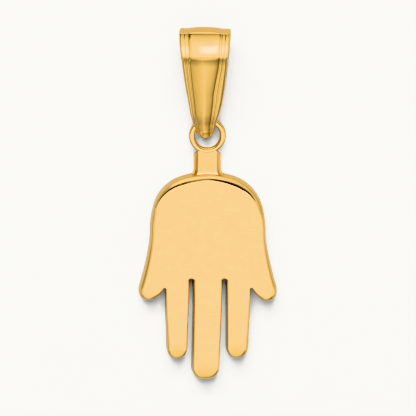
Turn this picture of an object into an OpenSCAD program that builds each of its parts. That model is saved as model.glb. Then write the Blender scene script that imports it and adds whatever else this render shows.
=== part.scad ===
// Hamsa pendant lying on its front, with its back up.
// The hand plate, its neck tab and its ring are one soldered solid.
// The bail is a folded, tapered strip that hangs on the ring and lies beside it.
// X runs across the hand, Y from the middle fingertip to the bail, Z up from the surface.

/* [Hand] */
// Length from the middle fingertip to the top of the dome
hand_l = 15.45; // [14.5:0.05:17]
// Width across the two thumbs
hand_w = 9.88; // [9.4:0.02:11]
// Width of the palm where the dome ends and the flare starts
palm_w = 8.24; // [7.6:0.02:8.6]
// Thickness from the front face to the back face
hand_t = 1.3; // [1.1:0.05:1.8]
// Height of the dome over the palm
dome_l = 4.27; // [3.6:0.01:5]
// Roundness of the dome, where 2 is an ellipse and more is squarer
dome_power = 2.4; // [2:0.1:3]
// How much smaller the back face is than the front, along each edge
edge_draft = 0.02; // [0:0.01:0.2]
// Rounding of the front edges, which lie on the surface
front_round = 0.3; // [0.1:0.01:0.4]
// Rounding of the back edges, which polishing has softened
back_round = 0.42; // [0.12:0.01:0.5]

/* [Fingers] */
// Width of the middle finger at its root
middle_w = 2.06; // [1.8:0.01:2.2]
// Radius of the middle fingertip
middle_tip_r = 0.96; // [0.7:0.01:1]
// Width of the finger at each side at its root
side_w = 1.71; // [1.5:0.01:1.9]
// Radius of the side fingertips
side_tip_r = 0.8; // [0.6:0.01:0.85]
// How far the side fingertips stop short of the middle one
side_step = 1.63; // [1:0.01:2.5]
// Width of the gaps between the fingers at the front
gap_w = 0.3; // [0.2:0.01:0.4]
// Length of the gaps, measured from the middle fingertip
gap_l = 7.65; // [7.2:0.01:8.2]
// Lean of the fingers to one side, in degrees
finger_lean = 1.3; // [0:0.1:3]

/* [Thumbs] */
// Height of the lowest point of each thumb over the middle fingertip
thumb_y = 5.9; // [5.4:0.01:6.4]
// Radius of the thumb tips
thumb_tip_r = 0.73; // [0.5:0.01:0.8]
// Radius of the thumbs' outer side, between the flare and the tip
thumb_side_r = 1.8; // [1:0.05:2.5]
// Slant of the outer edge where the flare meets the thumb, in degrees
flare_slant = 16.4; // [10:0.1:20]
// Slant of the underside of each thumb where it leaves the tip, in degrees
thumb_slant = 36; // [30:1:45]
// Radius of the underside of the thumbs, between the tip and the notch
thumb_under_r = 2.5; // [2:0.1:6]
// Rounding of the notch between the thumb and the finger
notch_r = 0.06; // [0.04:0.01:0.12]

/* [Neck tab and ring] */
// How far the tab and the ring sit off the hand's centre line
neck_shift = -0.05; // [-0.3:0.01:0.3]
// Width of the tab
tab_w = 1.9; // [1.5:0.01:2.2]
// Thickness of the tab
tab_t = 0.58; // [0.5:0.01:0.6]
// Rounding of the long edges of the tab on its back
tab_round = 0.28; // [0.1:0.01:0.3]
// Length of the tab between the hand and the crest of the ring's wire
tab_l = 1.7; // [1.2:0.01:2.4]
// Cut across the two upper corners of the tab
tab_corner = 0.36; // [0.2:0.01:0.5]
// How far the tab runs past the crest of the ring's wire
tab_lap = 0.06; // [0.03:0.01:0.08]
// How far the back of the tab lies under the crest of the ring's wire
tab_step = 0.02; // [0.01:0.01:0.04]
// How deep the tab is sunk into the edge of the hand and soldered there
tab_root = 0.8; // [0.4:0.05:1.2]
// Outer diameter of the ring
ring_d = 2.67; // [2.4:0.01:3.2]
// Diameter of the ring's wire
wire_d = 0.44; // [0.36:0.01:0.48]
// Height of the ring's middle over the surface
ring_z = 0.71; // [0.69:0.01:0.74]

/* [Bail] */
// Length of the bail from its tip to the top of the bend
bail_l = 8.64; // [8:0.01:10]
// Width of the bail at the top of the bend
bail_w = 3.6; // [3:0.01:4.4]
// Outer diameter of the bend that the chain runs through
bend_d = 3.2; // [2.8:0.01:3.8]
// Thickness of the strip
strip_t = 0.28; // [0.2:0.01:0.32]
// Length of the slanted facet at the tip, along the bail
facet_l = 0.77; // [0.6:0.01:0.9]
// Height of the crease where the back leaf meets the facet
facet_h = 1.2; // [1.15:0.01:1.35]
// Thickness of the very tip
tip_t = 0.3; // [0.2:0.01:0.4]
// Length of the solid end, where the two leaves are soldered together
end_l = 0.78; // [0.7:0.01:0.85]
// Height of the crowned panel over the strip
crown_h = 0.16; // [0.05:0.01:0.25]
// Gap along the bail between the ring's wire and the soldered end
ring_gap = 0.5; // [0.4:0.01:0.6]
// Roll of the bail about its own length as it lies, in degrees
bail_roll = 6; // [0:0.5:8]
// Pitch of the bail as it lies, with its tip down, in degrees
bail_pitch = 1.2; // [0:0.1:1.4]
// Turn of the bail to one side as it lies, in degrees
bail_turn = 0; // [-2:0.1:2]

/* [Hidden] */
$fn = 48;

// Steps along each curve of the hand's outline
dome_steps = 22;
flare_steps = 10;
thumb_side_steps = 3;
thumb_tip_steps = 9;
thumb_under_steps = 3;
notch_steps = 4;
tip_steps = 12;
gap_steps = 6;
front_steps = 4;
back_steps = 6;

// Angles by which an arc starts past the end of the one before it
tip_start = 12;
under_start = 4;
notch_start = 30;

// Share of the edge draft and roundings that each stretch of the edge takes
rim_share = 1;
outer_share = 0.8;
notch_share = 0.5;
gap_share = 0.42;

// Places in the hand's outline
dome_y = hand_l - dome_l;
thumb_centre = [hand_w / 2 - thumb_tip_r, thumb_y + thumb_tip_r];
thumb_side_centre = [hand_w / 2 - thumb_side_r, thumb_centre.y];
flare_end = thumb_side_centre + thumb_side_r * [cos(flare_slant), sin(flare_slant)];
flare_w = flare_end.x - palm_w / 2;
flare_l = dome_y - flare_end.y;
flare_power = tan(flare_slant) * flare_l / flare_w;
finger_in = middle_w / 2 + gap_w;
finger_mid = finger_in + side_w / 2;
finger_out = finger_in + side_w;

// Underside of the thumb, an arc from its tip to the notch beside the finger
under_from = -90 - thumb_slant;
under_centre = thumb_centre - (thumb_under_r - thumb_tip_r) * [cos(under_from), sin(under_from)];
notch_x = finger_out + notch_r;
notch_drop = sqrt(pow(thumb_under_r + notch_r, 2) - pow(notch_x - under_centre.x, 2));
notch_y = under_centre.y - notch_drop;
under_to = atan2(-notch_drop, notch_x - under_centre.x);

// Ring and tab
wire_path_r = (ring_d - wire_d) / 2;
crest_y = hand_l + tab_l;
tab_top = crest_y + tab_lap;
ring_y = crest_y + wire_path_r;
wire_top_y = ring_y + wire_path_r;
tab_back_z = ring_z + wire_d / 2 - tab_step;
tab_side_steps = 5;

// Bail, in its own frame: Y from its tip to the bend, Z up from its front leaf
bend_r = bend_d / 2;
bend_centre = [bail_l - bend_r, bend_r];
crease = [facet_l, facet_h];
to_bend = bend_centre - crease;
leaf_slope = atan2(to_bend.y, to_bend.x) + asin(bend_r / norm(to_bend));
leaf_normal = 90 + leaf_slope;
facet_normal = 90 + atan2(facet_h - tip_t, facet_l);
nose_round = 0.2 * tip_t;
// Share of the soldered end's height that its inner face drops over the facet
end_drop = 0.8;
// Share of the bend, from the plain front leaf, over which the relief grows to its full height
relief_grow = 0.25;
bend_steps = 18;
leaf_steps = 9;
facet_steps = 3;

// Width of the bail, as shares of its length and of its width, from the tip up
bail_taper = [
    [0, 0.09],
    [0.035, 0.23],
    [0.09, 0.33],
    [0.15, 0.43],
    [0.27, 0.57],
    [0.38, 0.67],
    [0.5, 0.755],
    [0.61, 0.82],
    [0.76, 0.895],
    [0.82, 0.925],
    [0.91, 0.97],
    [1, 1]
];

// Relief across half of the strip, as shares of the half width and of the crown's height
strip_relief = [
    [0, 1],
    [0.22, 0.96],
    [0.42, 0.78],
    [0.56, 0.5],
    [0.63, 0.12],
    [0.7, 0.52],
    [0.76, 0.46],
    [0.82, 0],
    [0.88, 0.44],
    [0.95, 0.42],
    [1, 0.1]
];

// Place of the bail along the part, and of the ring's wire along the bail
bail_tip_y = wire_top_y - wire_d / 2 - ring_gap - end_l;
wire_in_bail = wire_top_y - bail_tip_y;

// Lift that sets the lowest point of the rolled and pitched bail on the surface
bail_lift = max([
    for (row = bail_taper)
        bail_w / 2 * row[1] * sin(bail_roll)
            - (bail_l * row[0] - wire_in_bail) * sin(bail_pitch) * cos(bail_roll)
]);

// The part is set down with the middle of its box over the origin
bend_y = (bend_centre.x - wire_in_bail) * cos(bail_pitch) - bend_centre.y * sin(bail_pitch);
total_l = wire_top_y + bend_y + bend_r + crown_h;
middle_y = total_l / 2;

// One stretch of outline, as rows of x, y, direction of the normal and share of the edge
function arc(centre, r, from, to, steps, share_1, share_2, turn) = [
    for (i = [0 : steps])
        let (s = i / steps, a = from + (to - from) * s)
            [centre.x + r * cos(a), centre.y + r * sin(a), a + turn, share_1 + (share_2 - share_1) * s]
];

// Dome of the palm, from its top round to the side
function dome() = [
    for (i = [0 : dome_steps])
        let (
            a = 90 * (1 - i / dome_steps),
            x = palm_w / 2 * pow(cos(a), 2 / dome_power),
            y = dome_l * pow(sin(a), 2 / dome_power),
            nx = pow(2 * x / palm_w, dome_power - 1) / palm_w * 2,
            ny = pow(y / dome_l, dome_power - 1) / dome_l
        )
            [x, dome_y + y, atan2(ny, nx), rim_share]
];

// Flare of the palm, from the end of the dome down to the thumb
function flare() = [
    for (i = [1 : flare_steps - 1])
        let (
            s = i / flare_steps,
            slope = flare_power * flare_w / flare_l * pow(s, flare_power - 1)
        )
            [palm_w / 2 + flare_w * pow(s, flare_power), dome_y - flare_l * s, atan(slope), rim_share]
];

function right_half() = concat(
    dome(),
    flare(),
    arc(thumb_side_centre, thumb_side_r, flare_slant, 0, thumb_side_steps, rim_share, rim_share, 0),
    arc(thumb_centre, thumb_tip_r, -tip_start, under_from, thumb_tip_steps, rim_share, outer_share, 0),
    arc(under_centre, thumb_under_r, under_from - under_start, under_to,
        thumb_under_steps, outer_share, notch_share, 0),
    arc([notch_x, notch_y], notch_r, under_to + 180 + notch_start, 180,
        notch_steps, notch_share, notch_share, 180),
    arc([finger_mid, side_step + side_tip_r], side_tip_r, 0, -180,
        tip_steps, outer_share, gap_share, 0),
    arc([finger_in - gap_w / 2, gap_l - gap_w / 2], gap_w / 2, 0, 180,
        gap_steps, gap_share, gap_share, 180),
    arc([0, middle_tip_r], middle_tip_r, 0, -90, tip_steps / 2, outer_share, rim_share, 0)
);

// Whole outline, with the fingers leaning below the thumbs
half_outline = right_half();
half_count = len(half_outline);
lean_slope = tan(finger_lean);
outline = [
    for (p = concat(
        half_outline,
        [for (i = [half_count - 2 : -1 : 1])
            let (q = half_outline[i]) [-q[0], q[1], 180 - q[2], q[3]]]
    ))
        [p[0] + lean_slope * min(0, p[1] - thumb_y), p[1], p[2], p[3]]
];

// Section of the edge, as rows of inset, height and drop, from the front face to the back face
edge_rows = concat(
    [for (i = [0 : front_steps])
        let (a = 90 * i / front_steps)
            [front_round * (1 - sin(a)), front_round * (1 - cos(a)), 0]],
    [for (i = [0 : back_steps])
        let (a = 90 * i / back_steps)
            [edge_draft + back_round * (1 - cos(a)), hand_t, back_round * (1 - sin(a))]]
);

// Skins a stack of rings of equal length, with a flat cap at each end
module skin(rings) {
    rows = len(rings);
    count = len(rings[0]);
    points = [for (ring = rings) each ring];
    walls = [
        for (i = [0 : rows - 2], j = [0 : count - 1])
            let (a = i * count + j, b = i * count + (j + 1) % count)
                each [[a, b, b + count], [a, b + count, a + count]]
    ];
    front = [[for (j = [count - 1 : -1 : 0]) j]];
    back = [[for (j = [0 : count - 1]) (rows - 1) * count + j]];
    polyhedron(points = points, faces = concat(walls, front, back));
}

module hand_plate() {
    skin([
        for (row = edge_rows)
            [for (p = outline)
                [p[0] - row[0] * p[3] * cos(p[2]), p[1] - row[0] * p[3] * sin(p[2]), row[1] - row[2] * p[3]]]
    ]);
}

// Section of the tab, with its two long back edges rounded
tab_section = concat(
    [[tab_w / 2, tab_back_z - tab_t]],
    [for (i = [0 : tab_side_steps])
        let (a = 90 * i / tab_side_steps)
            [tab_w / 2 - tab_round * (1 - cos(a)), tab_back_z - tab_round * (1 - sin(a))]],
    [for (i = [tab_side_steps : -1 : 0])
        let (a = 90 * i / tab_side_steps)
            [-tab_w / 2 + tab_round * (1 - cos(a)), tab_back_z - tab_round * (1 - sin(a))]],
    [[-tab_w / 2, tab_back_z - tab_t]]
);

module tab() {
    intersection() {
        translate([0, tab_top, 0])
            rotate([90, 0, 0])
                linear_extrude(tab_top - hand_l + tab_root)
                    polygon(tab_section);
        linear_extrude(hand_t)
            polygon([
                [-tab_w / 2, hand_l - tab_root],
                [tab_w / 2, hand_l - tab_root],
                [tab_w / 2, tab_top - tab_corner],
                [tab_w / 2 - tab_corner, tab_top],
                [-tab_w / 2 + tab_corner, tab_top],
                [-tab_w / 2, tab_top - tab_corner]
            ]);
    }
}

module ring() {
    translate([0, ring_y, ring_z])
        rotate_extrude()
            translate([wire_path_r, 0])
                circle(d = wire_d);
}

module hand() {
    color("gold")
        translate([0, -middle_y, 0])
            union() {
                hand_plate();
                translate([neck_shift, 0, 0]) {
                    tab();
                    ring();
                }
            }
}

// Half width of the bail at a place along it
function half_w(y) = bail_w / 2 * lookup(y / bail_l, bail_taper);

// Height of the inner face of the back leaf at a place along the bail
function inner_z(y) =
    let (foot = bend_centre + (bend_r - strip_t) * [cos(leaf_normal), sin(leaf_normal)])
        foot.y - (foot.x - y) * tan(leaf_slope);

// Stations round the loop, as rows of outer y, outer z, normal, inner y, inner z and relief
bail_stations = concat(
    [for (i = [0 : leaf_steps])
        let (s = i / leaf_steps)
            [nose_round + (bend_centre.x - nose_round) * s, 0, -90,
                end_l + (bend_centre.x - end_l) * s, strip_t, 0]],
    [for (i = [1 : bend_steps])
        let (a = -90 + (leaf_normal + 90) * i / bend_steps, relief = min(1, i / bend_steps / relief_grow))
            [bend_centre.x + bend_r * cos(a), bend_centre.y + bend_r * sin(a), a,
                bend_centre.x + (bend_r - strip_t) * cos(a),
                bend_centre.y + (bend_r - strip_t) * sin(a), relief]],
    [for (i = [1 : leaf_steps])
        let (
            s = i / leaf_steps,
            from = bend_centre + bend_r * [cos(leaf_normal), sin(leaf_normal)],
            p = from + (crease - from) * s,
            inner_from = bend_centre.x + (bend_r - strip_t) * cos(leaf_normal),
            inner_y = inner_from + (end_l - inner_from) * s
        )
            [p.x, p.y, leaf_normal, inner_y, inner_z(inner_y), 1]],
    [for (i = [1 : facet_steps])
        let (s = i / facet_steps, top = inner_z(end_l), low = top + (strip_t - top) * s * end_drop)
            [facet_l * (1 - s), facet_h + (tip_t - facet_h) * s, facet_normal,
                end_l, low, 1 - s]]
);

// One closed section of the strip at a station, outer relief first and then the inner face
function bail_section(row) =
    let (
        outer_w = half_w(row[0]),
        lift = crown_h * row[5] * sqrt(2 * outer_w / bail_w),
        last = len(strip_relief) - 1
    )
        concat(
            [for (i = [-last : last])
                let (q = strip_relief[abs(i)], h = lift * q[1])
                    [sign(i) * q[0] * outer_w, row[0] + h * cos(row[2]), row[1] + h * sin(row[2])]],
            [[half_w(row[3]), row[3], row[4]], [-half_w(row[3]), row[3], row[4]]]
        );

module bail_loop() {
    sections = [for (row = bail_stations) bail_section(row)];
    rows = len(sections);
    count = len(sections[0]);
    points = [for (section = sections) each section];
    faces = [
        for (i = [0 : rows - 1], j = [0 : count - 1])
            let (
                a = i * count + j,
                b = i * count + (j + 1) % count,
                c = (i + 1) % rows * count + (j + 1) % count,
                d = (i + 1) % rows * count + j
            )
                each [[a, b, c], [a, c, d]]
    ];
    polyhedron(points = points, faces = faces);
}

module bail() {
    color("gold")
        translate([neck_shift, wire_top_y - middle_y, bail_lift])
            rotate([0, 0, bail_turn])
                rotate([bail_pitch, -bail_roll, 0])
                    translate([0, -wire_in_bail, 0])
                        bail_loop();
}

hand();
bail();
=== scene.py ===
# %% [markdown]
# # A gold hand pendant on its bail
# This lesson dresses a small CAD model as a polished gold pendant. The CAD model, the frame, is loaded
# first and gives every place and size. The smooth pieces of gold are then modelled over it with mesh
# operators, and get a finish, a table to lie on, soft light and a camera.

# %% Load the frame
import math

import bmesh
import bpy
from mathutils import Matrix, Vector


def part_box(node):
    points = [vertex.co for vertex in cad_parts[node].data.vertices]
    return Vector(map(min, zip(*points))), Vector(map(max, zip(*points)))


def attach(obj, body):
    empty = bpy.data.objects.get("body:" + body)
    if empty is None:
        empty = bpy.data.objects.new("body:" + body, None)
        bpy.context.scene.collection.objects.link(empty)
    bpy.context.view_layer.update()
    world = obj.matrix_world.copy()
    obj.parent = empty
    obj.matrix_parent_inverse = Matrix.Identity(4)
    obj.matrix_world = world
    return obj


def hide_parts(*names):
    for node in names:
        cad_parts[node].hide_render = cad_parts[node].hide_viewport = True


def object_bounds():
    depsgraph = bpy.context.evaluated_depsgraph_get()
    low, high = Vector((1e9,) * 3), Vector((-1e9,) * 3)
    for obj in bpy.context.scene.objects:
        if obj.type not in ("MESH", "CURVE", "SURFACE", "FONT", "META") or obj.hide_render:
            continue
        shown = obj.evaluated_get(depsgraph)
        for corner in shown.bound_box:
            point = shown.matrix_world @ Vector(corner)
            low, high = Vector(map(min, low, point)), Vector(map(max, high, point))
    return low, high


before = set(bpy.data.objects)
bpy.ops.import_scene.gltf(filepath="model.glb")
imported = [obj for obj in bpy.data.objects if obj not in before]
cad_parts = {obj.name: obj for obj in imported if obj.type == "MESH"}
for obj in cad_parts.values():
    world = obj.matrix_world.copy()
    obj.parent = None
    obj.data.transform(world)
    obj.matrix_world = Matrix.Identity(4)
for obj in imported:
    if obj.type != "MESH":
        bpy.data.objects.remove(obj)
cad_low, cad_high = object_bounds()
hand_low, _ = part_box("hand")
print("frame box in mm:", [round(1000 * side, 2) for side in cad_high - cad_low])

# %% [markdown]
# The real pendant is photographed from nearly straight above, with the camera leaning a little towards
# the bail and a little to the left, because the walls on those sides show. A long lens from almost a
# metre away keeps the flat gold free of perspective. One pixel of the picture covers 0.0715 mm, so the
# width of the view is known, and the lens follows from the distance.

# %% Camera
MM = 0.001
PICTURE_PIXELS = 416
PIXEL_MM = 0.0715
CAMERA_MM = 800
CAMERA_LEAN = math.radians(17)
CAMERA_LEFT = math.radians(3)
PICTURE_MIDDLE_PIXEL = PICTURE_PIXELS / 2
ORIGIN_PIXEL = Vector((207.5, 198.9))


def add_object(name, data):
    """Makes an object and puts it in the scene."""
    made = bpy.data.objects.new(name, data)
    bpy.context.scene.collection.objects.link(made)
    return made


to_camera = Vector((-math.sin(CAMERA_LEFT), math.sin(CAMERA_LEAN), math.cos(CAMERA_LEAN))).normalized()
picture_right = Vector((math.cos(CAMERA_LEFT), 0, math.sin(CAMERA_LEFT)))
picture_up = to_camera.cross(picture_right).normalized()
picture_right = picture_up.cross(to_camera)

camera_data = bpy.data.cameras.new("Camera")
camera_data.sensor_width = 36
camera_data.lens = camera_data.sensor_width * CAMERA_MM / (PICTURE_PIXELS * PIXEL_MM)
camera_data.clip_start = 0.1
camera_data.clip_end = 5
camera = add_object("Camera", camera_data)
bpy.context.scene.camera = camera

aim = (picture_right * (PICTURE_MIDDLE_PIXEL - ORIGIN_PIXEL.x)
       - picture_up * (PICTURE_MIDDLE_PIXEL - ORIGIN_PIXEL.y)) * PIXEL_MM * MM
axes = Matrix((picture_right, picture_up, to_camera)).transposed()
camera.matrix_world = Matrix.Translation(aim + to_camera * CAMERA_MM * MM) @ axes.to_4x4()
print("lens in mm:", round(camera_data.lens))

# %% [markdown]
# Every piece is drawn in millimetres, counted from the tip of the middle finger, because those are the
# sizes that a goldsmith would write down. One helper then turns the finished bmesh into an object: it
# moves the piece to the frame, shrinks it to metres and points its faces outwards.

# %% Finish a piece
FINGERTIP_Y = hand_low.y / MM


def finish_piece(bm, name, node, place=Matrix.Translation((0, FINGERTIP_Y, 0))):
    """Makes an object of a bmesh that was drawn in millimetres, and hides the CAD node it stands for."""
    bmesh.ops.transform(bm, matrix=Matrix.Scale(MM, 4) @ place, verts=bm.verts)
    bmesh.ops.remove_doubles(bm, verts=bm.verts, dist=MM * 0.0005)
    bmesh.ops.recalc_face_normals(bm, faces=bm.faces)
    for face in bm.faces:
        face.smooth = True
    mesh = bpy.data.meshes.new(name)
    bm.to_mesh(mesh)
    bm.free()
    piece = add_object(name, mesh)
    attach(piece, "root")
    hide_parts(node)
    low = min(mesh.vertices, key=lambda vert: vert.co.z).co / MM
    print(name, "has", len(mesh.polygons), "faces and its lowest point in mm at",
          [round(side, 2) for side in low])
    return piece


# %% [markdown]
# The hand is cut from plate. Its outline is a chain of arcs that run smoothly into each other, as they
# would come off a file. A pen does the drawing: it is one vertex that the spin operator turns about a
# centre beside it, leaving edges behind. A turn to the left is positive. Each stretch also says how much
# of the edge's slant it takes, because the saw leaves steeper walls in the narrow gaps than a file does
# on the outside.

# %% A pen that draws arcs and lines
def new_verts(bm, count):
    """The vertices that were made since the bmesh had that many."""
    bm.verts.ensure_lookup_table()
    return bm.verts[count:]


def spin(bm, geom, centre, axis, turn, steps, merge=False):
    """Turns vertices and edges about a centre, and leaves new edges or faces behind."""
    return bmesh.ops.spin(
        bm, geom=geom, cent=centre, axis=axis, dvec=(0, 0, 0), angle=turn, space=Matrix.Identity(4),
        steps=steps, use_merge=merge, use_normal_flip=False, use_duplicate=False)


class Pen:
    """Draws an outline as a chain of edges, with a share of the edge's slant at each vertex."""

    def __init__(self, bm, start, heading, share):
        self.bm = bm
        self.share_layer = bm.verts.layers.float.new("share")
        self.tip = bm.verts.new((*start, 0))
        self.tip[self.share_layer] = share
        self.heading = math.radians(heading)
        self.share = share

    def _mark(self, made, share):
        for step, vert in enumerate(made, 1):
            vert[self.share_layer] = self.share + (share - self.share) * step / len(made)
        self.share = share

    def arc(self, radius, turn, steps, share):
        side = math.copysign(radius, turn)
        centre = self.tip.co + side * Vector((-math.sin(self.heading), math.cos(self.heading), 0))
        count = len(self.bm.verts)
        made = spin(self.bm, [self.tip], centre, (0, 0, 1), math.radians(turn), steps)
        self._mark(new_verts(self.bm, count), share)
        self.tip = made["geom_last"][0]
        self.heading += math.radians(turn)

    def line(self, end, steps, share, heading):
        move = (Vector((*end, 0)) - self.tip.co) / steps
        count = len(self.bm.verts)
        for _ in range(steps):
            made = bmesh.ops.extrude_vert_indiv(self.bm, verts=[self.tip])
            self.tip = made["verts"][0]
            self.tip.co += move
        self._mark(new_verts(self.bm, count), share)
        self.heading = math.radians(heading)


# %% [markdown]
# Half of the hand is drawn, from the top of the palm round the thumb and the two gaps to the middle
# fingertip. The other half is its mirror image. On the real pendant the fingers lean a little to the
# left below the thumbs, which a shear gives at the end.

# %% Draw the hand's outline
HAND_L = 15.45
SHOULDER, RIM, OUTER, NOTCH, GAP = 1, 1, 0.8, 0.3, 0.42     # shares of the edge's slant
THUMB_Y = 5.9
FINGER_LEAN = math.radians(1.7)
GAP_W = 0.3
GAP_END_Y = 7.5
FINGER_IN_X = 1.33
SIDE_TIP_X, SIDE_TIP_Y, SIDE_TIP_R = 2.985, 2.43, 0.8
MIDDLE_TIP_R = 0.96
SHOULDER_Y, SHOULDER_H = 12.4, 0.7
ROLL = (                              # along the dome, share of the edge's rounding
    (-3.49, 0.55), (-3.1, 0.72), (-1.97, 1.1), (-0.89, 1.05), (0, 0.93), (0.89, 1.08), (1.97, 1.25),
    (2.68, 1.2), (3.22, 0.95))
THUMB_X, THUMB_LIFT = 3.1, 0.1
LIFT_OVER_X, LIFT_FROM_Y, LIFT_OVER_Y = 0.5, THUMB_Y + 0.5, 0.6
SHIFT_LEFT = 0.015
SKEW = 0.0153
RAISE_FROM_Y, RAISE_TO_Y, RAISE_OVER_Y = 5.3, 7.2, 0.5
RAISE = (                             # across the hand, how far the underside of a thumb is raised
    (2.95, 0), (3.03, 0.22), (3.1, 0.26), (3.4, 0.14), (3.75, 0.08), (4.1, 0.05), (4.6, 0.02))
WIDEN = 1.003
SLIM_FROM_Y, SLIM_TO_Y, SLIM_MOST = 5.5, 1.5, 1.2
SLIM = (                              # across the hand, how far a finger's edge has moved at its tip
    (-3.3, 0.2), (-1.9, 0.02), (-1.2, 0), (1.1, 0), (1.2, 0.1), (2.4, 0.02), (2.6, 0))


def between(table, at):
    """Reads a table of places and values, with straight lines between its rows."""
    if at <= table[0][0]:
        return table[0][1]
    for (start, low), (end, high) in zip(table, table[1:]):
        if at <= end:
            return low + (high - low) * (at - start) / (end - start)
    return table[-1][1]


def unit(value):
    """Keeps a share between 0 and 1."""
    return max(0, min(1, value))


outline = bmesh.new()
pen = Pen(outline, (0, HAND_L), 0, RIM)
for radius, turn, steps, share in (
        (5.926, -18.147, 14, SHOULDER),  # top of the palm
        (3.120, -57.430, 40, RIM),      # shoulder
        (7.176, -14.423, 12, RIM),      # side of the palm
        (7.317, 9.215, 10, RIM),        # flare
        (23.482, 7.185, 10, RIM),       # outer side of the thumb
        (1.8, -16.4, 8, RIM),
        (0.73, -126, 34, OUTER),        # tip of the thumb
        (2.5, -21.1, 8, NOTCH),         # under the thumb
        (0.06, 147.1, 10, NOTCH)):      # notch beside the finger
    pen.arc(radius, turn, steps, share)
pen.line((SIDE_TIP_X, SIDE_TIP_Y), 14, OUTER, -90)
pen.arc(SIDE_TIP_R, -180, 44, GAP)
pen.line((FINGER_IN_X, GAP_END_Y), 18, GAP, 90)
pen.arc(GAP_W / 2, 180, 16, GAP)
pen.line((MIDDLE_TIP_R, MIDDLE_TIP_R), 22, GAP, -90)
pen.arc(MIDDLE_TIP_R, -90, 26, RIM)
pen.tip.co.x = 0

bmesh.ops.mirror(outline, geom=outline.verts[:] + outline.edges[:], matrix=Matrix.Identity(4),
                 merge_dist=0.0001, axis="X")
bmesh.ops.remove_doubles(outline, verts=outline.verts, dist=0.0005)
lean = Matrix.Identity(4)
lean[0][1] = math.tan(FINGER_LEAN)
bmesh.ops.transform(outline, matrix=lean, space=Matrix.Translation((0, -THUMB_Y, 0)),
                    verts=[vert for vert in outline.verts if vert.co.y < THUMB_Y])
crisp_layer = outline.verts.layers.float.new("crisp")
for vert in outline.verts:
    high = unit((vert.co.y - SHOULDER_Y) / SHOULDER_H)
    vert[crisp_layer] = high
    vert[pen.share_layer] = high * between(ROLL, vert.co.x) + (1 - high) * vert[pen.share_layer]
    if vert.co.x < -THUMB_X and vert.co.y < LIFT_FROM_Y:
        vert.co.y += (THUMB_LIFT * min(1, (-THUMB_X - vert.co.x) / LIFT_OVER_X)
                      * unit((LIFT_FROM_Y - vert.co.y) / LIFT_OVER_Y))
    near = unit(min(vert.co.y - RAISE_FROM_Y, RAISE_TO_Y - vert.co.y) / RAISE_OVER_Y)
    vert.co.y += between(RAISE, abs(vert.co.x)) * near
    slim = min(SLIM_MOST, max(0, (SLIM_FROM_Y - vert.co.y) / (SLIM_FROM_Y - SLIM_TO_Y)))
    vert.co.x += between(SLIM, vert.co.x) * slim - SHIFT_LEFT
    vert.co.x *= WIDEN
    vert.co.y -= SKEW * vert.co.x * min(1, vert.co.y / THUMB_Y)
print("outline:", len(outline.verts), "vertices,", len(outline.edges), "edges")

# %% [markdown]
# The plate is that outline pulled up into a wall, one extruded ring of edges after the other. Each ring
# is drawn in from the outline along its normals. The rows below are the section of the edge: the front
# is well rounded, the wall slants inwards, the rim at the back is turned over tightly, and the last
# rows are the soft shoulder that polishing leaves before the flat back begins.

# %% Pull the outline up into a plate
PLATE_T = 1.3
FRONT_ROUND = 0.3
EDGE_DRAFT = 0.02
BACK_ROUND = 0.42
FLAT_RING = 0.05
FRONT_STEPS = 6

ROLLED = ((BACK_ROUND, 90, 20),)        # radius, up to this slope, steps
CRISP = ((0.36, 50, 8), (0.95, 66, 8), (0.1, 90, 4))


def section(arcs):
    """Rows of inset and drop round the arcs of an edge, from the wall to the flat back."""
    rows, slope, inset, drop = [(0, 0)], 0, 0, 0
    for radius, end, steps in arcs:
        for step in range(1, steps + 1):
            angle = math.radians(slope + (end - slope) * step / steps)
            rows.append((inset + radius * (math.cos(math.radians(slope)) - math.cos(angle)),
                         drop + radius * (math.sin(angle) - math.sin(math.radians(slope)))))
        (inset, drop), slope = rows[-1], end
    return [(row_inset, drop - row_drop) for row_inset, row_drop in rows]


plate = outline
share_layer = plate.verts.layers.float["share"]
base_layer = plate.verts.layers.float_vector.new("base")
out_layer = plate.verts.layers.float_vector.new("out")
crisp_layer = plate.verts.layers.float["crisp"]
# the chain is walked once round, so that every vertex knows its left from its right
first = max(plate.verts, key=lambda vert: vert.co.y)
chain, edge = [first], first.link_edges[0]
while True:
    following = edge.other_vert(chain[-1])
    if following is first:
        break
    chain.append(following)
    edge = next(other for other in following.link_edges if other is not edge)
area = sum(a.co.x * b.co.y - b.co.x * a.co.y for a, b in zip(chain, chain[1:] + chain[:1]))
for before, vert, after in zip(chain[-1:] + chain[:-1], chain, chain[1:] + chain[:1]):
    ahead = (after.co - vert.co).normalized() + (vert.co - before.co).normalized()
    side = Vector((ahead.y, -ahead.x, 0)).normalized() * math.copysign(1, area)
    vert[base_layer], vert[out_layer] = vert.co.copy(), side

ring_edges = plate.edges[:]
ring_verts = plate.verts[:]


def set_ring(verts, inset, height):
    """Moves a ring of vertices to its inset from the outline and its height."""
    for vert in verts:
        vert.co = vert[base_layer] - vert[out_layer] * inset * min(1, vert[share_layer])
        vert.co.z = height


def next_ring(verts_edges):
    """Extrudes a ring of edges and returns the new ring."""
    made = bmesh.ops.extrude_edge_only(plate, edges=verts_edges)["geom"]
    verts = [item for item in made if isinstance(item, bmesh.types.BMVert)]
    fresh = set(verts)
    return verts, [item for item in made if isinstance(item, bmesh.types.BMEdge)
                   and item.verts[0] in fresh and item.verts[1] in fresh]


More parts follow.
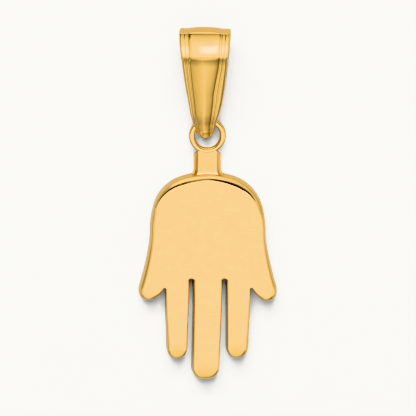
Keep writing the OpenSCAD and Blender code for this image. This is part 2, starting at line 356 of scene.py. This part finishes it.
set_ring(ring_verts, FRONT_ROUND, 0)
bmesh.ops.edgeloop_fill(plate, edges=ring_edges)
for step in range(1, FRONT_STEPS + 1):
    angle = math.radians(90) * step / FRONT_STEPS
    ring_verts, ring_edges = next_ring(ring_edges)
    set_ring(ring_verts, FRONT_ROUND * (1 - math.sin(angle)), FRONT_ROUND * (1 - math.cos(angle)))
for rolled, crisp in zip(section(ROLLED), section(CRISP)):
    ring_verts, ring_edges = next_ring(ring_edges)
    for vert in ring_verts:
        inset, drop = Vector(rolled).lerp(Vector(crisp), vert[crisp_layer]) * vert[share_layer]
        vert.co = vert[base_layer] - vert[out_layer] * (EDGE_DRAFT + inset)
        vert.co.z = PLATE_T - drop
ring_verts, ring_edges = next_ring(ring_edges)
for vert in ring_verts:
    vert.co -= vert[out_layer] * FLAT_RING
back = bmesh.ops.edgeloop_fill(plate, edges=ring_edges)["faces"][0]
print("plate:", len(plate.faces), "faces")

# %% [markdown]
# A hand polished back isn't a mirror flat. The wheel takes a little more off at the fingertips and the
# thumbs, so the back bends down there, and its reflections darken. The one large face of the back can't
# bend, so bisect_plane first cuts it into a lattice. Then every vertex near the back sinks by an amount
# that grows with the square of its distance past a line.

# %% Bend the back down towards the tips
LATTICE = 0.45
LATTICE_SPANS = ((0, -5, 5), (1, 0, 15.4))      # axis, from, to
CUT_DIST = 0.0001
BEND_FROM_Z = 0.5
SAW_X, SAW_REACH, SAW_TO_Y, SAW_SLANT = 1.18, 0.32, 7.7, 0.07
DROOPS = (      # over which part, from, along, over the last mm, depth in mm
    (lambda x, y: y < 5, (0, 4.2), (0, -1), 4.2, 0.02),                # fingers, slowly
    (lambda x, y: y < 2 and x < 1.2, (0, 1.0), (0, -1), 1.0, 0.19),    # middle fingertip
    (lambda x, y: y < 4 and x > 1.2, (0, 2.6), (0, -1), 1.0, 0.17),    # side fingertips
    (lambda x, y: y > 5, (3.5, 6.6), (0.94, -0.34), 1.2, 0.04))        # thumbs

lattice = [back]
for axis, low, high in LATTICE_SPANS:
    normal = Vector((axis == 0, axis == 1, 0))
    at = low + LATTICE / 2
    while at < high:
        parts = {item for face in lattice for item in (face, *face.edges, *face.verts)}
        made = bmesh.ops.bisect_plane(plate, geom=list(parts), plane_co=normal * at, plane_no=normal,
                                      dist=CUT_DIST)
        lattice = [item for item in made["geom"] if isinstance(item, bmesh.types.BMFace)]
        at += LATTICE

for vert in plate.verts:
    weight = max(0, (vert.co.z - BEND_FROM_Z) / (PLATE_T - BEND_FROM_Z))
    sink = 0
    for covers, (from_x, from_y), (to_x, to_y), reach, depth in DROOPS:
        past = (abs(vert.co.x) - from_x) * to_x + (vert.co.y - from_y) * to_y
        if covers(abs(vert.co.x), vert.co.y):
            sink += depth * (max(0, past) / reach) ** 2
    vert.co.z -= sink * weight
    if vert.co.y < SAW_TO_Y and abs(abs(vert.co.x) - SAW_X) < SAW_REACH:
        vert.co.x -= SAW_SLANT * (1 - vert.co.z / PLATE_T)
print("back: cut into", len(lattice), "faces")
hand_plate = finish_piece(plate, "hand_plate", "hand")

# %% [markdown]
# The ring is round wire, bent into a circle and soldered shut. A circle is the section of the wire, and
# one full spin about the ring's middle makes the torus. The seam is merged, so that the wire closes.

# %% Bend the ring
NECK_X = -0.05
TAB_L = 1.7
RING_D = 2.67
WIRE_D = 0.44
RING_Z = 0.71
WIRE_STEPS, RING_STEPS = 32, 112

crest_y = HAND_L + TAB_L
wire_path_r = (RING_D - WIRE_D) / 2
ring_middle = Vector((NECK_X, crest_y + wire_path_r, RING_Z))
ring = bmesh.new()
bmesh.ops.create_circle(
    ring, cap_ends=False, segments=WIRE_STEPS, radius=WIRE_D / 2,
    matrix=(Matrix.Translation(ring_middle + Vector((wire_path_r, 0, 0)))
            @ Matrix.Rotation(math.pi / 2, 4, "X")))
spin(ring, ring.verts[:] + ring.edges[:], ring_middle, (0, 0, 1), math.radians(360), RING_STEPS, merge=True)
neck_ring = finish_piece(ring, "neck_ring", "hand")

# %% [markdown]
# The neck tab joins the ring to the hand. It is a short bar with its corners cut where it meets the
# ring, and a facet filed along both long edges of its back. A cube is stretched to the bar, then the
# bevel operator cuts first the corners and the facets, flat, and last rounds every edge a little.

# %% File the neck tab
TAB_W = 1.9
TAB_T = 0.58
TAB_STEP = 0.02
TAB_LAP = 0.06
TAB_ROOT = 0.8
TAB_CORNER = 0.36
TAB_FACET = 0.3
TAB_SOFT = 0.035
TAB_SLOPE = 0.05
FOOT_L, FOOT_OUT, FOOT_UP, FOOT_STEPS = 0.4, 0.16, 0.02, 6
FOOT_FROM_Y = HAND_L - 0.1
BACK_FROM_Z = RING_Z - 0.1
NEAR = 0.01     # how close to a side an edge counts as its own

tab_back_z = RING_Z + WIRE_D / 2 - TAB_STEP
tab_low = Vector((NECK_X - TAB_W / 2, HAND_L - TAB_ROOT, tab_back_z - TAB_T))
tab_size = Vector((TAB_W, crest_y + TAB_LAP - tab_low.y, TAB_T))
tab = bmesh.new()
bar = Matrix.Translation(tab_low + tab_size / 2) @ Matrix.Diagonal((*tab_size, 1))
bmesh.ops.create_cube(tab, size=1, matrix=bar)


def bevel_edges(bm, edges, offset, segments):
    """Cuts or rounds the edges, both vertices and all."""
    bmesh.ops.bevel(bm, geom=edges, offset=offset, offset_type="OFFSET", affect="EDGES",
                    segments=segments, profile=0.5, material=-1, clamp_overlap=True)


def edge_runs(edge, axis):
    """True where an edge runs along an axis."""
    return abs((edge.verts[0].co - edge.verts[1].co).normalized()[axis]) > 0.99


tab_top_y = tab_low.y + tab_size.y
corners = [edge for edge in tab.edges if edge_runs(edge, 2) and edge.verts[0].co.y > tab_top_y - NEAR]
bevel_edges(tab, corners, TAB_CORNER, 1)
long_edges = [edge for edge in tab.edges if edge_runs(edge, 1) and edge.verts[0].co.z > tab_back_z - NEAR]
bevel_edges(tab, long_edges, TAB_FACET, 1)
bevel_edges(tab, tab.edges[:], TAB_SOFT, 3)
for step in range(FOOT_STEPS + 1):
    bmesh.ops.bisect_plane(tab, geom=tab.verts[:] + tab.edges[:] + tab.faces[:], dist=CUT_DIST,
                           plane_co=(0, FOOT_FROM_Y + FOOT_L * step / FOOT_STEPS, 0), plane_no=(0, 1, 0))
for vert in tab.verts:
    near = unit((FOOT_FROM_Y + FOOT_L - vert.co.y) / FOOT_L)
    vert.co.x += math.copysign(FOOT_OUT * near ** 2, vert.co.x - NECK_X)
    if vert.co.z > BACK_FROM_Z:
        vert.co.z += FOOT_UP * near ** 2 - TAB_SLOPE * (tab_top_y - vert.co.y)
neck_tab = finish_piece(tab, "neck_tab", "hand")
flat = neck_tab.modifiers.new("Weighted normals", "WEIGHTED_NORMAL")
flat.weight = 100

# %% [markdown]
# The bail is one tapered strip, folded round so that a chain can run through the bend, with its two
# ends soldered together. Its outside has a raised panel with a groove and a bead along each side. The
# section is a few vertices across the strip. It is pulled along the front leaf, spun round the bend in
# two arcs, pulled down the back leaf and the facet at the tip, and bridged back to where it started.

# %% Section of the strip
STRIP_T = 0.28
CROWN_H = 0.24
NOSE = 0.06
INNER = (0.985, 0.93, 0.4)          # vertices of the inner face, share of the half width
RELIEF = (                          # share of the half width, share of the crown's height
    (0, 1), (0.2, 0.96), (0.36, 0.86), (0.48, 0.74), (0.56, 0.62), (0.61, 0.52), (0.64, 0.4),
    (0.665, 0.36), (0.69, 0.42), (0.72, 0.47), (0.75, 0.46), (0.775, 0.4), (0.8, 0.34), (0.825, 0.4),
    (0.86, 0.46), (0.9, 0.45), (0.95, 0.34), (0.985, 0.08), (1, -0.25))

strip = bmesh.new()
across_layer = strip.verts.layers.float.new("across")
relief_layer = strip.verts.layers.float.new("relief")
inner_layer = strip.verts.layers.float.new("inner")
outer_row = [(-across, height, 0) for across, height in reversed(RELIEF[1:])]
outer_row += [(across, height, 0) for across, height in RELIEF]
inner_row = [(across, 0, 1) for across in INNER] + [(-across, 0, 1) for across in reversed(INNER)]
ring_verts = []
for across, height, inner in outer_row + inner_row:
    vert = strip.verts.new((across, NOSE, STRIP_T * inner))
    vert[across_layer], vert[relief_layer], vert[inner_layer] = across, height, inner
    ring_verts.append(vert)
ring_edges = [strip.edges.new(pair) for pair in zip(ring_verts, ring_verts[1:] + ring_verts[:1])]
print("section of the strip:", len(ring_verts), "vertices")

# %% [markdown]
# The stations are the rings that the strip passes through. For each the script keeps its vertices, the
# direction that its outside faces and how strong the relief is there.

# %% Fold the strip
BAIL_L = 8.64
FRONT_END_Y = 6.79
FOLDS = (               # radius, turn, steps
    (2.0, 108.5, 18),       # front of the bend
    (0.02, 54.5, 4),        # edge of the cushion
    (5.85, 15, 12),         # cushion over the bend
    (0.4, 33, 8))           # back edge of the cushion
VALLEY_R = 2.7
LEAF_SLOPE = 17
LEAF_BEND_Y = 2.4
TIP_FLAT_Y = 1.6
TIP_EDGE_Y = 0.93
TIP_LIP_L = 0.07
TIP_Y = 0.36
END_L = 0.78
BACK_LEAF = (           # pulled down to this y, in steps, and then a fold
    (LEAF_BEND_Y, 16, (5, 8, 6)),
    (TIP_FLAT_Y, 2, (3, -5, 4)),
    (TIP_EDGE_Y, 4, (0.12, -7, 2)))

stations = [(ring_verts, 0.0, 0.0)]
station_at = Vector((0, NOSE, 0))
heading = 0.0


def sides_of(verts, edges_from):
    """The edges among some vertices."""
    among = set(verts)
    return [item for item in edges_from if item.verts[0] in among and item.verts[1] in among]


def pull(length, steps, relief):
    """Pulls the strip straight on."""
    global ring_verts, ring_edges, station_at
    move = Vector((0, math.cos(heading), math.sin(heading))) * length / steps
    for _ in range(steps):
        count = len(strip.verts)
        made = bmesh.ops.extrude_edge_only(strip, edges=ring_edges)["geom"]
        ring_verts = new_verts(strip, count)
        ring_edges = sides_of(ring_verts, [item for item in made if isinstance(item, bmesh.types.BMEdge)])
        bmesh.ops.translate(strip, vec=move, verts=ring_verts)
        stations.append((ring_verts, heading, relief))
    station_at = station_at + move * steps


def fold(radius, turn, steps, relief_from, relief_to):
    """Folds the strip round a centre on its inner side, or on its outer side where the turn is negative."""
    global ring_verts, ring_edges, station_at, heading
    centre = station_at + math.copysign(radius, turn) * Vector((0, -math.sin(heading), math.cos(heading)))
    count = len(strip.verts)
    spin(strip, ring_verts + ring_edges, centre, (1, 0, 0), math.radians(turn), steps)
    made = new_verts(strip, count)
    size = len(ring_verts)
    for step in range(1, steps + 1):
        ring_verts = made[(step - 1) * size:step * size]
        share = step / steps
        stations.append((ring_verts, heading + math.radians(turn) * share,
                         relief_from + (relief_to - relief_from) * share))
    ring_edges = sides_of(ring_verts, {edge for vert in ring_verts for edge in vert.link_edges})
    station_at = centre + Matrix.Rotation(math.radians(turn), 3, "X") @ (station_at - centre)
    heading += math.radians(turn)


pull(FRONT_END_Y - NOSE, 12, 0)
for index, (radius, turn, steps) in enumerate(FOLDS):
    fold(radius, turn, steps, 0 if index == 0 else 1, 1)
fold(VALLEY_R, 180 + LEAF_SLOPE - math.degrees(heading), 6, 1, 1)
for to_y, steps, bend in BACK_LEAF:
    pull((station_at.y - to_y) / -math.cos(heading), steps, 1)
    fold(*bend, 1, 1)
pull(TIP_LIP_L, 1, 1)
fold(0.14, 9, 3, 1, 0.95)
pull((station_at.y - TIP_Y) / -math.cos(heading), 3, 0.8)
fold(0.3, 55, 6, 0.75, 0.2)
print("tip of the strip at", [round(value, 2) for value in station_at])

# %% [markdown]
# The strip is still drawn two millimetres wide all along, from -1 to 1. Each vertex now takes its true
# width from how far up the bail it lies, and its relief from its station. The inner face stops where the
# leaves are soldered.

# %% Taper and relief
BAIL_W = 3.66
TAPER = (       # share of the bail's length from its tip, share of its full width
    (-0.01, 0.05), (0.01, 0.09), (0.025, 0.2), (0.045, 0.3), (0.09, 0.36), (0.15, 0.43), (0.27, 0.57),
    (0.38, 0.67), (0.5, 0.755), (0.61, 0.82), (0.76, 0.895), (0.82, 0.925), (0.91, 0.97), (1, 1), (1.1, 1.02))
PANEL_SHIFT = 0.8
SHIFT_RAMP = ((0.6, 0), (1.4, 0.8), (3.9, 1), (6.1, 0.1), (7, 0))
TIP_SKEW, TIP_SKEW_TO_Y = 0.1, 0.75
TIP_POINT, TIP_POINT_TO_Y = 0.3, 1.2
TIP_LEFT, TIP_LEFT_FROM_Y, TIP_LEFT_TO_Y = 0.085, 3.4, 1.6
RING_GAP = 0.61
BAIL_LEFT, BAIL_UP = 0.03, 0.0887
BAIL_ROLL, BAIL_PITCH = math.radians(6), math.radians(1.2)


def half_width(y):
    """Half of the strip's width at a place along the bail."""
    return BAIL_W / 2 * between(TAPER, y / BAIL_L)


for verts, facing, relief in stations:
    normal = Vector((0, math.sin(facing), -math.cos(facing)))
    for vert in verts:
        if vert[inner_layer]:
            vert.co.y = max(vert.co.y, END_L)
        width = half_width(vert.co.y)
        across = vert[across_layer]
        if relief and across > 0:
            across **= 1 + PANEL_SHIFT * between(SHIFT_RAMP, vert.co.y)
        low = unit((TIP_LEFT_FROM_Y - vert.co.y) / (TIP_LEFT_FROM_Y - TIP_LEFT_TO_Y))
        vert.co.x = across * width + TIP_SKEW * max(0, 1 - vert.co.y / TIP_SKEW_TO_Y) - TIP_LEFT * low
        vert.co.y += TIP_POINT * across ** 2 * max(0, 1 - vert.co.y / TIP_POINT_TO_Y)
        vert.co += normal * CROWN_H * relief * vert[relief_layer] * math.sqrt(width / (BAIL_W / 2))
first_edges = sides_of(stations[0][0], {edge for vert in stations[0][0] for edge in vert.link_edges})
bmesh.ops.bridge_loops(strip, edges=first_edges + ring_edges)

wire_top_y = crest_y + 2 * wire_path_r
wire_in_bail = WIRE_D / 2 + RING_GAP + END_L
bail_place = (Matrix.Translation((NECK_X - BAIL_LEFT, wire_top_y + FINGERTIP_Y, BAIL_UP))
              @ Matrix.Rotation(-BAIL_ROLL, 4, "Y") @ Matrix.Rotation(BAIL_PITCH, 4, "X")
              @ Matrix.Translation((0, -wire_in_bail, 0)))
bail = finish_piece(strip, "bail_strip", "bail", bail_place)
smooth = bail.modifiers.new("Subdivision", "SUBSURF")
smooth.levels = smooth.render_levels = 2

# %% [markdown]
# Materials are built from nodes. Four small helpers keep their cells short: the first adds a node and sets
# or links its inputs by name, and the others add a sum, map a range of values to another one and mix two
# colours.

# %% Helpers for nodes
def add_node(tree, kind, output=0, **inputs):
    """Adds a node, sets the inputs that are numbers, vectors or colours, and links the rest."""
    node = tree.nodes.new(kind)
    for name, value in inputs.items():
        socket = node.inputs[name.replace("_", " ")]
        if isinstance(value, bpy.types.NodeSocket):
            tree.links.new(value, socket)
        else:
            socket.default_value = value
    return node, node.outputs[output]


def tree_maths(tree, operation, *values):
    """A sum of some values."""
    node = tree.nodes.new("ShaderNodeMath")
    node.operation = operation
    for socket, value in zip(node.inputs, values):
        if isinstance(value, (int, float)):
            socket.default_value = value
        else:
            tree.links.new(value, socket)
    return node.outputs[0]


def map_range(tree, value, low, high, to_low, to_high):
    """Maps a range of values to another range, and stops at its ends."""
    return add_node(tree, "ShaderNodeMapRange", Value=value, From_Min=low, From_Max=high,
                    To_Min=to_low, To_Max=to_high)[1]


def mix_colour(tree, factor, first, second):
    """A colour between two others."""
    mix = tree.nodes.new("ShaderNodeMix")
    mix.data_type = "RGBA"
    colours = [socket for socket in mix.inputs if socket.type == "RGBA"]
    colours[0].default_value, colours[1].default_value = first, second
    tree.links.new(factor, mix.inputs["Factor"])
    return next(socket for socket in mix.outputs if socket.type == "RGBA")


# %% [markdown]
# Yellow gold colours its own reflections. Polishing and handling leave four marks, and each has its own
# noise in the material: the metal is a shade redder in places, finger marks dull it in patches, hairline
# scratches cross it, and the wheel leaves the surface slightly wavy. Hairlines come from noise that is
# stretched to long streaks, of which only the very crests are kept. Each piece gets its own amounts,
# because the wire and the strip are tumbled but not wheeled flat like the plate.

# %% Gold
GOLD = (0.99, 0.624, 0.187, 1)
RED_GOLD = (0.98, 0.6, 0.17, 1)
HAIRLINE_TURNS = (0.35, 1.2, 2.4)       # radians, the directions in which the hairlines run
MM_NOISE = 1000                         # noise of this scale changes about once a millimetre
TINT_NOISE, PATCH_NOISE, WAVE_NOISE = MM_NOISE * 1.7, MM_NOISE * 0.45, MM_NOISE * 0.5
STREAK_NOISE = (MM_NOISE * 0.25, MM_NOISE * 22, MM_NOISE * 6)
CREST_FROM, CREST_TO = 0.68, 0.76       # the part of the streaks' noise that is kept as hairlines
PATCH_DULLER = 1.7                      # how much duller a finger mark is
HAIRLINE_ROUGH = 0.1
WAVE_H, HAIRLINE_H = MM * 0.1, MM * 0.002


def gold_finish(name, dull, wave_depth, hairline_depth):
    """Polished gold with patches, hairlines and a slight waviness."""
    material = bpy.data.materials.new(name)
    material.use_nodes = True
    tree = material.node_tree
    shader = tree.nodes["Principled BSDF"]
    shader.inputs["Metallic"].default_value = 1
    place = add_node(tree, "ShaderNodeTexCoord")[0].outputs["Object"]

    tint = add_node(tree, "ShaderNodeTexNoise", Vector=place, Scale=TINT_NOISE, Detail=4.0,
                    Roughness=0.6)[1]
    tree.links.new(mix_colour(tree, map_range(tree, tint, 0.35, 0.75, 0, 1), GOLD, RED_GOLD),
                   shader.inputs["Base Color"])

    scratches = None
    for turn in HAIRLINE_TURNS:
        streaks = add_node(tree, "ShaderNodeMapping", Vector=place, Rotation=(0, 0, turn),
                           Scale=STREAK_NOISE)[1]
        noise = add_node(tree, "ShaderNodeTexNoise", Vector=streaks, Scale=1.0, Detail=2.0)[1]
        crest = map_range(tree, noise, CREST_FROM, CREST_TO, 0, 1)
        scratches = tree_maths(tree, "MAXIMUM", scratches, crest) if scratches else crest

    patches = add_node(tree, "ShaderNodeTexNoise", Vector=place, Scale=PATCH_NOISE, Detail=3.0)[1]
    patches = map_range(tree, patches, 0.4, 0.7, dull, dull * PATCH_DULLER)
    rough = tree_maths(tree, "MULTIPLY_ADD", scratches, HAIRLINE_ROUGH, patches)
    tree.links.new(rough, shader.inputs["Roughness"])

    wave = add_node(tree, "ShaderNodeTexNoise", Vector=place, Scale=WAVE_NOISE, Detail=1.0)[1]
    wavy = add_node(tree, "ShaderNodeBump", Height=wave, Strength=wave_depth, Distance=WAVE_H)[1]
    scratched = add_node(tree, "ShaderNodeBump", Height=scratches, Strength=hairline_depth,
                         Distance=HAIRLINE_H, Normal=wavy)[0]
    scratched.invert = True
    tree.links.new(scratched.outputs[0], shader.inputs["Normal"])
    return material


for piece, name, dull, wave_depth, hairline_depth in (
        (hand_plate, "wheeled_gold", 0.06, 0.035, 0.25),
        (neck_ring, "wire_gold", 0.09, 0.08, 0.3),
        (neck_tab, "tab_gold", 0.1, 0.1, 0.3),
        (bail, "strip_gold", 0.08, 0.08, 0.3)):
    finish = gold_finish(name, dull, wave_depth, hairline_depth)
    piece.data.materials.append(finish)
    print(name, "has", len(finish.node_tree.nodes), "nodes")

# %% [markdown]
# The pendant lies on plain white paper. Its fibres give it a very fine grain and a faint cloudiness.
# White paper close to gold would light its edges from below as strongly as the lamps do from above. So the
# rays that come from the gold see a darker copy of the paper than the camera does: this is painted shade on
# the paper that the gold reflects.

# %% Table
PAPER = (0.405, 0.402, 0.385, 1)
# painted shade: the darker paper that only the gold's reflections show
SHADED_PAPER = (0.178, 0.176, 0.171, 1)
TABLE_HALF_SIDE = 2
CLOUD_NOISE, FIBRE_NOISE = MM_NOISE * 0.2, MM_NOISE * 6
floor_bm = bmesh.new()
bmesh.ops.create_grid(floor_bm, x_segments=1, y_segments=1, size=TABLE_HALF_SIDE)
floor_mesh = bpy.data.meshes.new("table")
floor_bm.to_mesh(floor_mesh)
floor_bm.free()
table = add_object("table", floor_mesh)
table.location.z = cad_low.z

paper = bpy.data.materials.new("table_paper")
paper.use_nodes = True
tree = paper.node_tree
paper_shader = tree.nodes["Principled BSDF"]
paper_shader.inputs["Specular IOR Level"].default_value = 0
place = add_node(tree, "ShaderNodeTexCoord")[0].outputs["Object"]
# rays from the gold get the darker paper, which is painted shade in the reflections
from_gold = add_node(tree, "ShaderNodeLightPath")[0].outputs["Is Glossy Ray"]
tone = mix_colour(tree, from_gold, PAPER, SHADED_PAPER)
cloud = add_node(tree, "ShaderNodeTexNoise", Vector=place, Scale=CLOUD_NOISE, Detail=2.0)[1]
cloudy = add_node(tree, "ShaderNodeHueSaturation", Color=tone,
                  Value=map_range(tree, cloud, 0.3, 0.7, 0.99, 1.01))[1]
tree.links.new(cloudy, paper_shader.inputs["Base Color"])
fibres = add_node(tree, "ShaderNodeTexNoise", Vector=place, Scale=FIBRE_NOISE, Detail=3.0)[1]
tree.links.new(map_range(tree, fibres, 0.3, 0.7, 0.85, 0.95), paper_shader.inputs["Roughness"])
grain = add_node(tree, "ShaderNodeBump", Height=fibres, Strength=0.1, Distance=MM * 0.02)[1]
tree.links.new(grain, paper_shader.inputs["Normal"])
table.data.materials.append(paper)
print("table:", 2 * TABLE_HALF_SIDE, "m square, at a height in mm of", round(table.location.z / MM, 3))

# %% [markdown]
# Gold shows its surroundings, so lighting it means drawing a room for it to reflect. The room here is the
# world: a sky whose brightness is worked out from the direction of each ray. In a jeweller's light tent
# the bright cloth, the darker gaps between its panels and the frame of the window would do the same.
# First come small helpers that write such sums as nodes.

# %% Helpers for the room
world = bpy.data.worlds.new("studio")
bpy.context.scene.world = world
world.use_nodes = True
nodes, links = world.node_tree.nodes, world.node_tree.links
background = nodes["Background"]
direction = nodes.new("ShaderNodeTexCoord").outputs["Generated"]


def maths(operation, first, second=0.0):
    """A sum of two values."""
    return tree_maths(world.node_tree, operation, first, second)


def toward(vector):
    """How far the direction of a ray points along a vector."""
    node = nodes.new("ShaderNodeVectorMath")
    node.operation = "DOT_PRODUCT"
    links.new(direction, node.inputs[0])
    node.inputs[1].default_value = vector
    return node.outputs["Value"]


def fade(value, start, end, low=0.0, high=1.0):
    """A soft step from one value to another."""
    node = nodes.new("ShaderNodeMapRange")
    node.interpolation_type = "SMOOTHSTEP"
    links.new(value, node.inputs["Value"])
    for name, number in (("From Min", start), ("From Max", end), ("To Min", low), ("To Max", high)):
        node.inputs[name].default_value = number
    return node.outputs["Result"]


def beside(value, middle, start, end, low=0.0, high=1.0):
    """A soft step from one value to another, by the distance from a middle."""
    return fade(maths("ABSOLUTE", maths("SUBTRACT", value, middle)), start, end, low, high)


def curve_node(value, points, low, high, top):
    """A curve through points, as a node."""
    scaled = nodes.new("ShaderNodeMapRange")
    links.new(value, scaled.inputs["Value"])
    scaled.inputs["From Min"].default_value = low
    scaled.inputs["From Max"].default_value = high
    node = nodes.new("ShaderNodeFloatCurve")
    links.new(scaled.outputs["Result"], node.inputs["Value"])
    curve = node.mapping.curves[0]
    curve.points[0].location = (0, points[0][1] / top)
    curve.points[-1].location = (1, points[-1][1] / top)
    for at, light in points[1:-1]:
        curve.points.new((at - low) / (high - low), light / top)
    for point in curve.points:
        point.handle_type = "VECTOR"
    node.mapping.update()
    return maths("MULTIPLY", node.outputs[0], top)


def blend(share, first, second):
    """A mix of two values."""
    rest = maths("SUBTRACT", 1.0, share)
    return maths("ADD", maths("MULTIPLY", first, rest), maths("MULTIPLY", second, share))


# %% [markdown]
# The arch runs from the horizon beyond the bail (0 degrees), over the part (90) to the horizon beyond the
# fingers (180). The flat back of the hand shows the bright cloth at 107 degrees, the leaf of the bail the
# darker cloth near 140, and the cushion of the bail runs from the gap near 70 to the window at 96, which
# gives it its pale highlight. Towards the fingers the cloth is brightest in the middle, so the leaf gets
# a soft bright line.

# %% The room from the bail to the fingers
ARCH = (    # degrees over the part from the bail's horizon, light
    (0, 0.5), (4, 1.5), (12, 1.9), (26, 2.1), (33, 2.0), (38, 1.8), (45, 0.9), (58, 0.6), (66, 0.5),
    (73, 0.55), (76, 0.75), (80, 1.1), (86, 1.8), (96, 2.4), (107, 2.2), (112, 1.8), (119, 1.45),
    (127, 1.25), (141, 1.35), (152, 0.95), (165, 0.68), (180, 0.35))
ARCH_TOP = 10
LEAF_LIGHT = (      # from left to right, share of the arch's light towards the fingers
    (-1, 0.5), (-0.7, 0.6), (-0.42, 0.7), (-0.24, 0.76), (-0.16, 0.95), (-0.11, 1.12), (-0.06, 1.0),
    (0.01, 0.88), (0.09, 0.77), (0.18, 0.63), (0.3, 0.46), (0.45, 0.36), (1, 0.5))
WINDOW_AT, WINDOW_X, WINDOW_LIGHT = 96.3, 0.03, 4.8

ray_x, ray_y, ray_z = toward((1, 0, 0)), toward((0, 1, 0)), toward((0, 0, 1))
over = maths("MULTIPLY", maths("ARCTAN2", ray_z, ray_y), 180 / math.pi)
arch = curve_node(over, ARCH, 0, 180, ARCH_TOP)
# the window, a bright panel just over the part
window = maths("MULTIPLY", beside(over, WINDOW_AT, 6.8, 2.2), beside(ray_x, WINDOW_X, 0.34, 0.16))
arch = maths("ADD", arch, maths("MULTIPLY", window, WINDOW_LIGHT))

leaf_light = curve_node(ray_x, LEAF_LIGHT, -1, 1, 2)
arch = blend(fade(over, 122, 136), arch, maths("MULTIPLY", arch, leaf_light))
print("steps in the arch:", len(ARCH))

# %% [markdown]
# The sides of the room are dark near the table and bright overhead. They draw the thin dark line along the
# sides of the palm, and dark flags beside the bail draw the lines of its grooves. The thin black frame of
# the window runs right round the bail's side of the room. In the rounded edge of the dome it becomes the
# sharp black line that the photograph shows.

# %% The sides of the room and the window's frame
LEFT_SIDE = ((0, 0.4), (0.14, 0.42), (0.3, 0.85), (0.61, 1.0), (0.85, 1.3), (1, 2.2))      # height, light
RIGHT_SIDE = ((0, 0.5), (0.1, 0.6), (0.3, 1.2), (0.6, 1.6), (0.85, 2.1), (1, 2.2))
FLAGS_X, FLAGS_DARK = -0.1, 0.38
FRAME_Z, FRAME_BEND, FRAME_X = 0.765, 0.15, -0.03

left = curve_node(ray_z, LEFT_SIDE, 0, 1, ARCH_TOP)
right = curve_node(ray_z, RIGHT_SIDE, 0, 1, ARCH_TOP)
light = blend(fade(ray_x, -0.35, -0.75), arch, left)
light = blend(fade(ray_x, 0.45, 0.8), light, right)
flags = maths("MULTIPLY", beside(ray_x, FLAGS_X, 0.38, 0.5),
              maths("MAXIMUM", fade(ray_y, -0.42, -0.52), fade(ray_y, -0.2, -0.08)))
light = maths("MULTIPLY", light, maths("SUBTRACT", 1.0, maths("MULTIPLY", flags, FLAGS_DARK)))
# the frame is weaker in its middle, where the line on the dome thins
frame_at = maths("ADD", ray_z, maths("MULTIPLY", maths("MULTIPLY", ray_x, ray_x), FRAME_BEND))
window_frame = maths("MULTIPLY", beside(frame_at, FRAME_Z, 0.115, 0.095),
                     maths("MULTIPLY", fade(ray_y, 0.05, 0.15), beside(ray_x, 0, 0.85, 0.75)))
window_frame = maths("MULTIPLY", window_frame, beside(ray_x, FRAME_X, 0.08, 0.26, 0.45, 0.98))
light = maths("MULTIPLY", light, maths("SUBTRACT", 1.0, window_frame))
links.new(light, background.inputs["Strength"])
background.inputs["Color"].default_value = (1, 1, 1, 1)
print("nodes in the room:", len(nodes))

# %% [markdown]
# The room alone would give hardly any shadow. Two soft lamps beyond the bail throw short shadows towards
# the fingers, a main one and a lower one, which carries the shadow a little further out. The gold doesn't
# see the lamps themselves, since the room already holds their reflections.

# %% Lamps
LAMP_M = 1.2
for name, power, from_side, width, height in (
        ("softbox", 46, (-0.1, 0.67, 0.735), 0.85, 0.83),
        ("low_softbox", 37, (-0.1, 0.83, 0.56), 0.85, 0.25)):
    lamp_data = bpy.data.lights.new(name, "AREA")
    lamp_data.energy = power
    lamp_data.shape = "RECTANGLE"
    lamp_data.size, lamp_data.size_y = width, height
    from_side = Vector(from_side).normalized()
    lamp = add_object(name, lamp_data)
    turned = from_side.to_track_quat("Z", "Y").to_matrix().to_4x4()
    lamp.matrix_world = Matrix.Translation(from_side * LAMP_M) @ turned
    lamp.visible_glossy = False
    print(name, "shines with", power, "W")
bpy.context.scene.cycles.caustics_reflective = False
bpy.context.scene.view_settings.view_transform = "Khronos PBR Neutral"
